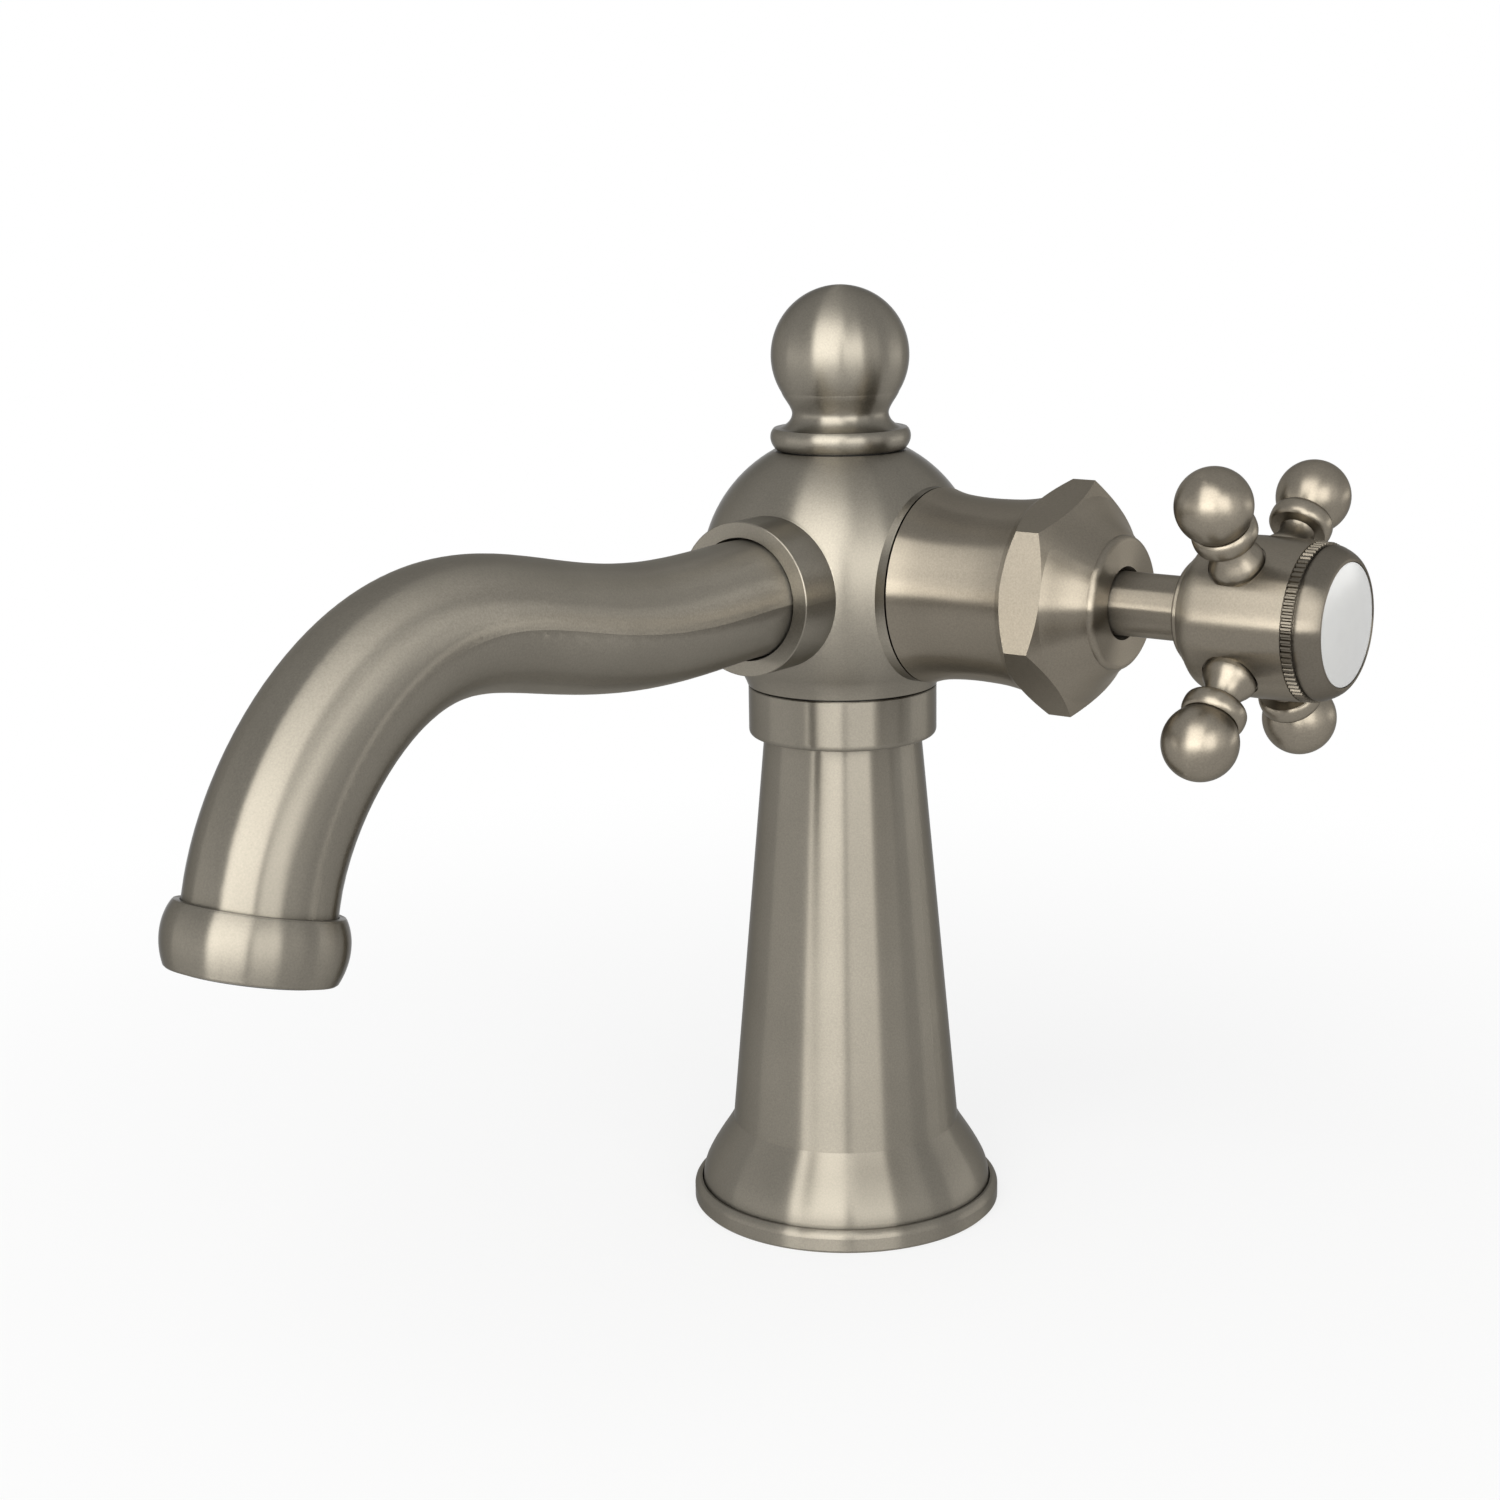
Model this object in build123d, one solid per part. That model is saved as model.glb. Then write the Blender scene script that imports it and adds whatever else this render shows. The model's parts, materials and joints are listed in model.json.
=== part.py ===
"""Single handle basin faucet, built as separate pieces.

Millimetres. Origin at the centre of the base underside, +Z up,
the spout reaches towards -Y and the handle towards +X.
"""
from build123d import *
from math import cos, hypot, radians, sin, sqrt
import os

# Clearances and seams
SLIP = 0.05
GAP = 0.1
FOOT_SEAM = 0.3
BALL_SEAM = 0.35
NECK_SEAM = 0.35
FINIAL_SEAM = 0.25

# Foot: ring, gasket, screws
FOOT_R = 25.4
FOOT_WALL = 3.0
RING_WALL = 1.3
RING_H = 3.9
RING_HOLE_R = 15.5
FOOT_FLOOR = 1.9
FOOT_RIM_H = 2.5
GASKET_INSET = 3.0
GASKET_W = 3.8
GASKET_T = 1.1
FOOT_SCREW_R = 1.0
FOOT_HEAD_R = 1.8
FOOT_SCREW_TOP = 5.4

# Column and collar
CREASE_R = 19.85
CREASE_Z = 15.3
CONE_TOP_R = 13.5
CONE_L = 69.3
TENON_STEP = 0.6
TENON_WALL = 1.6
TENON_L = 7.4
COLLAR_STEP = 2.6
COLLAR_H = 8.55

# Inlet block, its ports and the risers
BLOCK_R = 16.2
BLOCK_TOP = 24.0
BLOCK_FLANGE_TOP = 6.0
PORT_X = -3.0
PORT_Y = 5.6
HOSE_THREAD_R = 4.5
HOSE_THREAD_L = 13.0
STUD_X = 9.5
STUD_THREAD_R = 3.4
STUD_THREAD_L = 18.0
RISER_R = 3.0
RISER_BORE_R = 2.3
RISER_SOCKET_R = 4.0
RISER_SEAT = 6.0

# Ball body
BALL_R = 23.8
BALL_FOOT_DEPTH = 5.0
BALL_FOOT_H = 3.4
BALL_FLAT_DEPTH = 2.9
BALL_RISE = 0.5
SPIGOT_L = 19.5
SPOT_DEPTH = 4.6
POCKET_X = 5.0
PORT_DOWN = 6.6
PORT_UP = 3.8
PORT_BORE_R = 1.9
PORT_SEAL_R = 2.9

# Finial, measured from its underside
BEAD_R = 11.78
FINIAL_NECK_R = 8.1
FINIAL_R = 11.56
FINIAL_BALL_UP = 15.5
FINIAL_STUD_R = 3.0
FINIAL_STUD_IN = 11.0
FINIAL_STUD_UP = 8.4

# Spout boss, and the spout that leaves it towards -Y
BOSS_REACH = 4.65
BOSS_R = 12.6
BOSS_WALL = 2.55
BOSS_DEPTH = 8.45
SPOUT_SEAT_GAP = 1.0
SPOUT_PORT_R = 5.2
SPOUT_PORT_L = 11.0
SPOUT_CHANNEL_R = 4.0
SPOUT_ROOT_R = 9.55
SPOUT_TIP_R = 10.3
SPOUT_BORE_R = 8.0
# Reach from the boss face and rise over the neck axis
SPOUT_POLES = [(1.55, 0.0), (19.25, 0.0), (63.35, -7.4), (56.25, 24.4), (99.3, 4.2), (106.75, -23.6)]
TIP_STRAIGHT = 4.6

# Aerator
SHELL_AT = 1.6
SHELL_L = 8.9
SHELL_R = 12.45
SHELL_LIP = 3.1
AERATOR_WASHER_T = 1.2

# Neck sleeve and bonnet
WAIST_R = 14.9
SLEEVE_L = 20.05
SLEEVE_TENON_L = 6.0
NECK_THREAD_L = 5.8
NECK_WALL = 1.1
HEX_R = 18.95
HEX_L = 8.2
HEX_TURN = 49.3
NOSE_R = 10.75
NOSE_L = 1.1
BONNET_WASHER_T = 0.8
BONNET_CAVITY_R = 10.0
BUSH_L = 3.6
BONNET_WALL = 4.0
BONNET_BORE_R = 5.87

# Cartridge, from the pocket floor outwards
BASE_L = 4.0
FIXED_L = 3.0
MOVING_L = 3.5
DRIVER_L = 3.5
STEM_HEAD_L = 2.7
THRUST_L = 0.8
HOUSING_SEALS_L = 11.4
NUT_L = 4.0
NUT_IN_R = 8.5
STEM_R = 4.5
STEM_HEAD_R = 7.5
STEM_END_R = 3.6
STEM_END_L = 8.0
SEAL_GROOVE_R = 6.3
SEAL_GROOVE_L = 1.8
DISC_PORT_R = 1.4
DISC_PULL = 0.96
DISC_POCKET_L = 1.5
POCKET_FROM, POCKET_TO = 226, 304

# Handle
SHAFT_R = 5.1
SHAFT_TAIL_R = 3.9
SHAFT_SHOWN = 11.9
STEP_R = 8.2
STEP_L = 1.4
HUB_R = 12.4
HUB_L = 18.55
HUB_WALL = 3.4
ARM_FROM_HUB = 9.5
HUB_CAVITY_FROM_HUB = 12.7
ARM_ANGLE = 40.75
ARM_SEAT_DEPTH = 0.7
ARM_FOOT_R = 4.2
ARM_BALL_OUT = 13.1
ARM_BALL_R = 5.85
ARM_TENON_R = 1.95
ARM_TENON_L = 3.8
HANDLE_SCREW_R = 2.0
PIN_R = 1.0

# Index cap and disc
KNURL_STEP = 0.25
KNURL_DEPTH = 0.3
KNURL_TEETH = 80
KNURL_L = 1.7
BEZEL_STEP = 0.6
BEZEL_W = 2.4
DISC_FROM_BEZEL = 2.05
DISC_CUSHION_T = 0.4

# Radii that follow
FOOT_IN_R = FOOT_R - FOOT_WALL
RING_RECESS_R = FOOT_R + FOOT_SEAM
RING_R = RING_RECESS_R + RING_WALL
GASKET_OUT_R = RING_R - GASKET_INSET
GASKET_IN_R = GASKET_OUT_R - GASKET_W
FOOT_SCREW_X = GASKET_IN_R - FOOT_HEAD_R - 0.4
TENON_R = CONE_TOP_R - TENON_STEP
TENON_IN_R = TENON_R - TENON_WALL
COLLAR_R = CONE_TOP_R + COLLAR_STEP
BALL_FOOT_R = COLLAR_R + GAP
SPIGOT_R = TENON_IN_R - GAP
SPOT_R = WAIST_R + 1.3
NECK_R = WAIST_R - 1.0
POCKET_R = NECK_R - NECK_WALL
TENON_POCKET_R = SPOT_R - 1.9
CARTRIDGE_R = POCKET_R - 0.3
MOVING_R = CARTRIDGE_R - 2.0
BOSS_BORE_R = BOSS_R - BOSS_WALL
HUB_CAVITY_R = HUB_R - HUB_WALL
ARM_SEAT_AT = HUB_R - ARM_SEAT_DEPTH
KNURL_R = HUB_R - KNURL_STEP
BEZEL_R = HUB_R - BEZEL_STEP
DISC_R = BEZEL_R - BEZEL_W

# Levels that follow, bottom to top
COLLAR_BOTTOM = CREASE_Z + CONE_L
TENON_TOP = COLLAR_BOTTOM + TENON_L
COLLAR_TOP = COLLAR_BOTTOM + COLLAR_H
BALL_BOTTOM = COLLAR_TOP + BALL_SEAM
BALL_Z = BALL_BOTTOM + BALL_R - BALL_FOOT_DEPTH
BALL_FLAT_Z = BALL_Z + BALL_R - BALL_FLAT_DEPTH
AXIS_Z = BALL_Z - BALL_RISE
FINIAL_BOTTOM = BALL_FLAT_Z + FINIAL_SEAM
SPIGOT_BOTTOM = BALL_BOTTOM - SPIGOT_L
RISER_LOW = BLOCK_TOP - RISER_SEAT
RISER_TOP = SPIGOT_BOTTOM + RISER_SEAT
HOT_Z = AXIS_Z - PORT_DOWN
MIX_Z = AXIS_Z + PORT_UP

# Places that follow, along +X from the column axis
SPOT_X = BALL_R - SPOT_DEPTH
SLEEVE_X = SPOT_X + NECK_SEAM
SLEEVE_TENON_X = SPOT_X - SLEEVE_TENON_L
HEX_X = SLEEVE_X + SLEEVE_L
NECK_END_X = HEX_X + NECK_THREAD_L
BONNET_CAVITY_X = NECK_END_X + BONNET_WASHER_T
BONNET_WALL_X = BONNET_CAVITY_X + BUSH_L + 0.2
BONNET_END_X = BONNET_WALL_X + BONNET_WALL
STEP_X = BONNET_END_X + SHAFT_SHOWN
HUB_X = STEP_X + STEP_L
ARM_X = HUB_X + ARM_FROM_HUB
HUB_CAVITY_X = HUB_X + HUB_CAVITY_FROM_HUB
KNURL_X = HUB_X + HUB_L
BEZEL_X = KNURL_X + KNURL_L
DISC_X = BEZEL_X + DISC_FROM_BEZEL
BASE_X = POCKET_X + 0.3
FIXED_X = BASE_X + BASE_L
MOVING_X = FIXED_X + FIXED_L
DRIVER_X = MOVING_X + MOVING_L
STEM_X = DRIVER_X + DRIVER_L
THRUST_X = STEM_X + STEM_HEAD_L
HOUSING_WALL_X = THRUST_X + THRUST_L
NUT_X = HOUSING_WALL_X + HOUSING_SEALS_L
NUT_END_X = NUT_X + NUT_L
STEM_NECK_X = NUT_X + 2.8
SHAFT_X = STEM_NECK_X + 0.4
PIN_X = STEM_NECK_X + 4.5

# Places that follow, along -Y
BOSS_Y = BALL_R + BOSS_REACH
BOSS_SHOULDER_Y = BOSS_Y - BOSS_DEPTH
SPOUT_START_Y = BOSS_SHOULDER_Y + SPOUT_SEAT_GAP
SPOUT_PORT_Y = BOSS_SHOULDER_Y - SPOUT_PORT_L

parts = {}


def outline(*runs):
    """Closed face in the half plane (radius, height). A run is a list of points, or
    ("curve", points) for a smooth line, or ("arc", points) for an arc through three points."""
    with BuildSketch(Plane.XZ) as sk:
        with BuildLine():
            ends = []
            for run in runs:
                kind, pts = run if isinstance(run, tuple) else ("line", run)
                if ends and ends[-1] != pts[0]:
                    Line(ends[-1], pts[0])
                if kind == "curve":
                    Spline(*pts)
                elif kind == "arc":
                    ThreePointArc(*pts)
                elif len(pts) > 1:
                    Polyline(*pts)
                if not ends:
                    ends.append(pts[0])
                ends.append(pts[-1])
            if ends[0] != ends[-1]:
                Line(ends[-1], ends[0])
        make_face()
    return sk.sketch


def turned(*runs):
    return revolve(outline(*runs), axis=Axis.Z)


def between(start, end, shares):
    """Smooth run from start to end. A share is how far a point is along (radius, height)."""
    (r0, h0), (r1, h1) = start, end
    middle = [(r0 + (r1 - r0) * r, h0 + (h1 - h0) * h) for r, h in shares]
    return "curve", [start] + middle + [end]


def ring(r_in, r_out, low, high):
    if r_in <= 0:
        return turned([(0, low), (r_out, low), (r_out, high), (0, high)])
    return turned([(r_in, low), (r_out, low), (r_out, high), (r_in, high)])


def rod(r, low, high):
    return ring(0, r, low, high)


def torus_ring(r_in, r_out, low, high):
    """Ring seal with rounded edges."""
    body = ring(r_in, r_out, low, high)
    return fillet(body.edges().filter_by(GeomType.CIRCLE), 0.45 * min(r_out - r_in, high - low))


def along_x(shape, y=0.0, z=AXIS_Z):
    """Turn a shape drawn along +Z so that it lies along +X."""
    return Pos(0, y, z) * Rot(0, 90, 0) * shape


def along_spout(shape, x=0.0, z=AXIS_Z):
    """Turn a shape drawn along +Z so that it lies along -Y."""
    return Pos(x, 0, z) * Rot(90, 0, 0) * shape


# Foot
base_ring = turned([(RING_HOLE_R, 0), (RING_R - 0.5, 0), (RING_R, 0.5), (RING_R, RING_H - 1.3)],
                   ("curve", [(RING_R, RING_H - 1.3), (RING_R - 0.25, RING_H - 0.6), (RING_R - 0.9, RING_H)]),
                   [(RING_R - 0.9, RING_H), (RING_RECESS_R, RING_H), (RING_RECESS_R, FOOT_FLOOR),
                    (RING_HOLE_R, FOOT_FLOOR)])
base_ring -= ring(GASKET_IN_R, GASKET_OUT_R, -1, GASKET_T)
parts["deck_gasket"] = ring(GASKET_IN_R + SLIP, GASKET_OUT_R - SLIP, 0, GASKET_T)

block = rod(FOOT_IN_R - 0.2, FOOT_FLOOR, BLOCK_FLANGE_TOP) + rod(BLOCK_R, FOOT_FLOOR, BLOCK_TOP)
block += rod(RING_HOLE_R - GAP, 0, FOOT_FLOOR)
block -= Pos(STUD_X, 0, 0) * rod(STUD_THREAD_R, -1, STUD_THREAD_L)
port = rod(HOSE_THREAD_R, -1, HOSE_THREAD_L) + rod(RISER_BORE_R, 0, BLOCK_TOP + 1)
port += rod(RISER_SOCKET_R, RISER_LOW - 1.4, BLOCK_TOP + 1)
screw = rod(FOOT_HEAD_R, GASKET_T - 0.8, GASKET_T) + rod(FOOT_SCREW_R, GASKET_T, FOOT_SCREW_TOP)
for name, side in (("left", -1), ("right", 1)):
    at = Pos(side * FOOT_SCREW_X, 0, 0)
    base_ring -= at * (rod(FOOT_HEAD_R + GAP, -1, GASKET_T) + rod(FOOT_SCREW_R + GAP, 0, FOOT_FLOOR + 1))
    block -= at * rod(FOOT_SCREW_R, 0, FOOT_SCREW_TOP + GAP) + Pos(PORT_X, side * PORT_Y, 0) * port
    parts["foot_screw_" + name] = at * screw
parts["base_ring"] = base_ring
parts["inlet_block"] = block

# Column
rim_top = FOOT_FLOOR + FOOT_RIM_H
column_bore_r = BLOCK_R + GAP
parts["column_shell"] = turned(
    [(FOOT_IN_R, FOOT_FLOOR), (FOOT_R, FOOT_FLOOR), (FOOT_R, rim_top)],
    between((FOOT_R, rim_top), (CREASE_R, CREASE_Z),
            [(0.045, 0.138), (0.18, 0.312), (0.369, 0.486), (0.595, 0.67), (0.811, 0.835)]),
    [(CREASE_R, CREASE_Z), (CONE_TOP_R, COLLAR_BOTTOM), (TENON_R, COLLAR_BOTTOM), (TENON_R, TENON_TOP),
     (TENON_IN_R, TENON_TOP), (TENON_IN_R, COLLAR_BOTTOM - 2), (column_bore_r, BLOCK_TOP + 0.4),
     (column_bore_r, BLOCK_FLANGE_TOP + SLIP), (FOOT_IN_R, BLOCK_FLANGE_TOP + SLIP)])

parts["collar_ring"] = turned(
    [(TENON_R + SLIP, COLLAR_BOTTOM), (COLLAR_R - 0.9, COLLAR_BOTTOM)],
    ("curve", [(COLLAR_R - 0.9, COLLAR_BOTTOM), (COLLAR_R - 0.25, COLLAR_BOTTOM + 0.3), (COLLAR_R, COLLAR_BOTTOM + 1)]),
    [(COLLAR_R, COLLAR_BOTTOM + 1), (COLLAR_R, COLLAR_TOP - 0.15), (COLLAR_R - 0.15, COLLAR_TOP),
     (TENON_IN_R, COLLAR_TOP), (TENON_IN_R, TENON_TOP + SLIP), (TENON_R + SLIP, TENON_TOP + SLIP)])
parts["ball_seat_washer"] = ring(TENON_IN_R, COLLAR_R - 1.1, COLLAR_TOP, BALL_BOTTOM)

# Risers and their seals
for name, side in (("hot", 1), ("cold", -1)):
    at = Pos(PORT_X, side * PORT_Y, 0)
    parts[name + "_riser"] = at * ring(RISER_BORE_R, RISER_R, RISER_LOW, RISER_TOP - 1.6)
    for level, low in (("lower", RISER_LOW + 1.5), ("upper", SPIGOT_BOTTOM + 1.2)):
        seal = torus_ring(RISER_R + 0.01, RISER_SOCKET_R - SLIP, low, low + 1.3)
        parts[name + "_riser_seal_" + level] = at * seal

# Ball body with the spout boss, the cartridge pocket and the water ways
foot_top = BALL_BOTTOM + BALL_FOOT_H
foot_top_r = sqrt(BALL_R ** 2 - (BALL_Z - foot_top) ** 2)
flat_r = sqrt(BALL_R ** 2 - (BALL_FLAT_Z - BALL_Z) ** 2)
ball = Rot(0, 0, 135) * turned(
    [(0, BALL_BOTTOM), (BALL_FOOT_R, BALL_BOTTOM)],
    between((BALL_FOOT_R, BALL_BOTTOM), (foot_top_r, foot_top), [(0.165, 0.235), (0.402, 0.5), (0.67, 0.75)]),
    ("arc", [(foot_top_r, foot_top), (BALL_R, BALL_Z), (flat_r, BALL_FLAT_Z)]),
    [(flat_r, BALL_FLAT_Z), (0, BALL_FLAT_Z)])
ball += rod(SPIGOT_R, SPIGOT_BOTTOM, BALL_BOTTOM + 4)
ball += along_spout(turned([(0, 8), (BOSS_R, 8), (BOSS_R, BOSS_Y - 0.15), (BOSS_R - 0.15, BOSS_Y), (0, BOSS_Y)]))
ball += along_x(rod(SPOT_R, SLEEVE_TENON_X, SPOT_X))
ball -= along_x(rod(SPOT_R + 1, SPOT_X, SPOT_X + 12))
ball -= along_x(rod(POCKET_R, POCKET_X, SPOT_X + 12) + rod(TENON_POCKET_R, SLEEVE_TENON_X - GAP, SPOT_X + 12))
ball -= along_spout(rod(BOSS_BORE_R, BOSS_SHOULDER_Y, BOSS_Y + 12) + rod(SPOUT_PORT_R, SPOUT_PORT_Y, BOSS_Y)
                    + rod(SPOUT_CHANNEL_R, -3, BOSS_Y))
ball -= rod(FINIAL_STUD_R + SLIP, BALL_FLAT_Z - FINIAL_STUD_IN - 0.2, BALL_FLAT_Z + 1)
ball -= along_x(rod(PORT_BORE_R, 0, POCKET_X + 1), 0, MIX_Z)
for side in (-1, 1):
    way = rod(RISER_SOCKET_R, SPIGOT_BOTTOM - 1, RISER_TOP - 1.5) + rod(RISER_BORE_R, SPIGOT_BOTTOM, HOT_Z + 1.2)
    ball -= Pos(PORT_X, side * PORT_Y, 0) * way
    ball -= along_x(rod(PORT_BORE_R, PORT_X, POCKET_X + 1), side * PORT_Y, HOT_Z)
parts["ball_body"] = ball

# Finial, drawn from its underside
bead_top = (BEAD_R - 0.58, 3.5)
globe_low = 6.0
globe_foot = (sqrt(FINIAL_R ** 2 - globe_low ** 2), FINIAL_BALL_UP - globe_low)
finial = turned([(0, 0), (BEAD_R - 0.88, 0)],
                ("curve", [(BEAD_R - 0.88, 0), (BEAD_R - 0.33, 0.75), (BEAD_R, 1.8), (BEAD_R - 0.18, 2.95), bead_top]),
                [bead_top, (BEAD_R - 1.68, 3.6)],
                ("curve", [(BEAD_R - 1.68, 3.6), (FINIAL_NECK_R + 0.8, 4.3), (FINIAL_NECK_R + 0.15, 5.2),
                           (FINIAL_NECK_R, 6.0), (FINIAL_NECK_R + 0.2, 6.7), (FINIAL_NECK_R + 0.95, 8.0), globe_foot]),
                ("arc", [globe_foot, (FINIAL_R, FINIAL_BALL_UP), (0, FINIAL_BALL_UP + FINIAL_R)]))
finial -= rod(FINIAL_STUD_R + SLIP, -1, FINIAL_STUD_UP + 0.2)
parts["finial"] = Pos(0, 0, FINIAL_BOTTOM) * finial
parts["finial_washer"] = ring(FINIAL_STUD_R + 2 * SLIP, BEAD_R - 1.9, BALL_FLAT_Z, FINIAL_BOTTOM)
parts["finial_stud"] = rod(FINIAL_STUD_R, BALL_FLAT_Z - FINIAL_STUD_IN, FINIAL_BOTTOM + FINIAL_STUD_UP)

# Spout tube
start = Vector(0, -SPOUT_START_Y, AXIS_Z)
poles = [Vector(0, -BOSS_Y - reach, AXIS_Z + rise) for reach, rise in SPOUT_POLES]
tip_dir = (poles[-1] - poles[-2]).normalized()
tip = poles[-1] + tip_dir * TIP_STRAIGHT
with BuildLine() as spine:
    Line(start, poles[0])
    Bezier(*poles)
    Line(poles[-1], tip)
path = spine.wires()[0]
first = Plane(origin=start, z_dir=(0, -1, 0), x_dir=(1, 0, 0))
last = Plane(origin=tip, z_dir=tip_dir, x_dir=(1, 0, 0))


def swept(r_start, r_end):
    return sweep([first * Circle(r_start), last * Circle(r_end)], path=path, multisection=True)


parts["spout_tube"] = swept(SPOUT_ROOT_R, SPOUT_TIP_R) - swept(SPOUT_BORE_R, SPOUT_BORE_R + 0.5)
parts["spout_washer"] = along_spout(ring(SPOUT_BORE_R + SLIP, BOSS_BORE_R - GAP, BOSS_SHOULDER_Y, SPOUT_START_Y))
nipple_end = SPOUT_START_Y + 6.0
seal_at = SPOUT_START_Y + 2.5
nipple = rod(SPOUT_PORT_R - SLIP, SPOUT_PORT_Y + 1, BOSS_SHOULDER_Y) + rod(SPOUT_BORE_R - SLIP, BOSS_SHOULDER_Y, nipple_end)
nipple -= rod(SPOUT_PORT_R - 1.6, 0, nipple_end + 9) + ring(SPOUT_BORE_R - 1.4, SPOUT_BORE_R + 1, seal_at - GAP, seal_at + 1.7)
parts["spout_nipple"] = along_spout(nipple)
parts["spout_seal"] = along_spout(torus_ring(SPOUT_BORE_R - 1.38, SPOUT_BORE_R - 0.01, seal_at, seal_at + 1.6))

# Aerator, drawn along the last straight of the spout
tip_axis = Plane(origin=poles[-1], x_dir=(1, 0, 0), z_dir=tip_dir).location
shell_end = SHELL_AT + SHELL_L
lip = shell_end - SHELL_LIP
insert_top = TIP_STRAIGHT + AERATOR_WASHER_T
shell = turned([(SPOUT_TIP_R + GAP, SHELL_AT), (SHELL_R - 1.2, SHELL_AT), (SHELL_R - 1, SHELL_AT + 0.25)],
               ("curve", [(SHELL_R - 1, SHELL_AT + 0.25), (SHELL_R - 0.3, SHELL_AT + 0.22 * SHELL_L),
                          (SHELL_R, SHELL_AT + 0.48 * SHELL_L), (SHELL_R - 0.3, SHELL_AT + 0.75 * SHELL_L),
                          (SHELL_R - 1, shell_end - 0.25)]),
               [(SHELL_R - 1, shell_end - 0.25), (SHELL_R - 1.3, shell_end), (SPOUT_TIP_R - 0.15, shell_end),
                (SPOUT_TIP_R - 0.15, lip), (SPOUT_TIP_R + GAP, lip)])
parts["aerator_shell"] = tip_axis * shell
parts["aerator_washer"] = tip_axis * ring(SPOUT_BORE_R + 0.7, SPOUT_TIP_R, TIP_STRAIGHT, insert_top)
wall_r, mouth_r = SPOUT_TIP_R - 1.3, SPOUT_TIP_R - 1.7
insert = turned([(wall_r, insert_top), (SPOUT_TIP_R, insert_top), (SPOUT_TIP_R, lip - SLIP), (SPOUT_TIP_R - 0.25, lip - SLIP),
                 (SPOUT_TIP_R - 0.25, shell_end - GAP), (SPOUT_TIP_R - 0.6, shell_end + 0.3), (mouth_r, shell_end + 0.3),
                 (mouth_r, lip + 1.2), (mouth_r - 1, lip + 1.2), (mouth_r - 1, lip + 0.2), (wall_r, lip + 0.2)])
parts["aerator_insert"] = tip_axis * insert
flow = rod(wall_r - GAP, insert_top + 0.3, lip + GAP)
for k in range(8):
    flow -= Rot(0, 0, 45 * k) * Pos(5.6, 0, 0) * rod(0.9, insert_top, lip + 2)
parts["flow_disc"] = tip_axis * flow
screen = rod(mouth_r - GAP, shell_end - GAP, shell_end + 0.4)
holes = [(2.3 * i, 2.3 * j) for i in range(-3, 4) for j in range(-3, 4) if i * i + j * j < 9.5]
for x, y in holes:
    screen -= Pos(x, y, shell_end) * Box(1.5, 1.5, 2.0)
parts["aerator_screen"] = tip_axis * screen

# Neck sleeve and bonnet
parts["neck_gasket"] = along_x(ring(TENON_POCKET_R + GAP, SPOT_R - 1.1, SPOT_X, SLEEVE_X))
swells = [(1.3, 0.0), (0.98, 0.05), (0.6, 0.125), (0.22, 0.265), (0.03, 0.445), (0.06, 0.62), (0.22, 0.77),
          (0.55, 0.895), (1.0, 1.0)]
flare = [(WAIST_R + swell, SLEEVE_X + share * SLEEVE_L) for swell, share in swells]
tenon_r = TENON_POCKET_R - SLIP
sleeve = turned([(tenon_r, SLEEVE_TENON_X), (tenon_r, SLEEVE_X), flare[0]], ("curve", flare),
                [flare[-1], (NECK_R, HEX_X), (NECK_R, NECK_END_X), (POCKET_R, NECK_END_X), (POCKET_R, SLEEVE_TENON_X)])
parts["neck_sleeve"] = along_x(sleeve)

flat_to_axis = HEX_R * cos(radians(30)) + 0.04
hex_end = HEX_X + HEX_L
nose_x = BONNET_END_X - NOSE_L
bonnet = turned([(NECK_R + GAP, HEX_X), (flat_to_axis - 0.5, HEX_X), (flat_to_axis, HEX_X + 1), (HEX_R + 0.05, HEX_X + 2.9),
                 (HEX_R + 0.05, hex_end - 1.4), (flat_to_axis, hex_end)],
                between((flat_to_axis, hex_end), (NOSE_R, nose_x),
                        [(0.149, 0.137), (0.395, 0.343), (0.675, 0.627), (0.877, 0.873)]),
                [(NOSE_R, nose_x), (NOSE_R, nose_x + 0.3)],
                ("curve", [(NOSE_R, nose_x + 0.3), (NOSE_R - 0.25, BONNET_END_X - 0.25), (NOSE_R - 0.85, BONNET_END_X)]),
                [(NOSE_R - 0.85, BONNET_END_X), (BONNET_BORE_R, BONNET_END_X), (BONNET_BORE_R, BONNET_WALL_X),
                 (BONNET_CAVITY_R, BONNET_WALL_X), (BONNET_CAVITY_R, BONNET_CAVITY_X), (NECK_R + GAP, BONNET_CAVITY_X)])
hexagon = extrude(Plane.XY.offset(HEX_X - 1) * Rot(0, 0, HEX_TURN) * RegularPolygon(HEX_R, 6), BONNET_END_X - HEX_X + 5)
parts["hex_bonnet"] = along_x(bonnet & hexagon)
parts["bonnet_washer"] = along_x(ring(BONNET_CAVITY_R + GAP, NECK_R - SLIP, NECK_END_X, BONNET_CAVITY_X))
parts["shaft_bush"] = along_x(ring(SHAFT_R + SLIP, BONNET_CAVITY_R - SLIP, BONNET_WALL_X - BUSH_L, BONNET_WALL_X))

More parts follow.
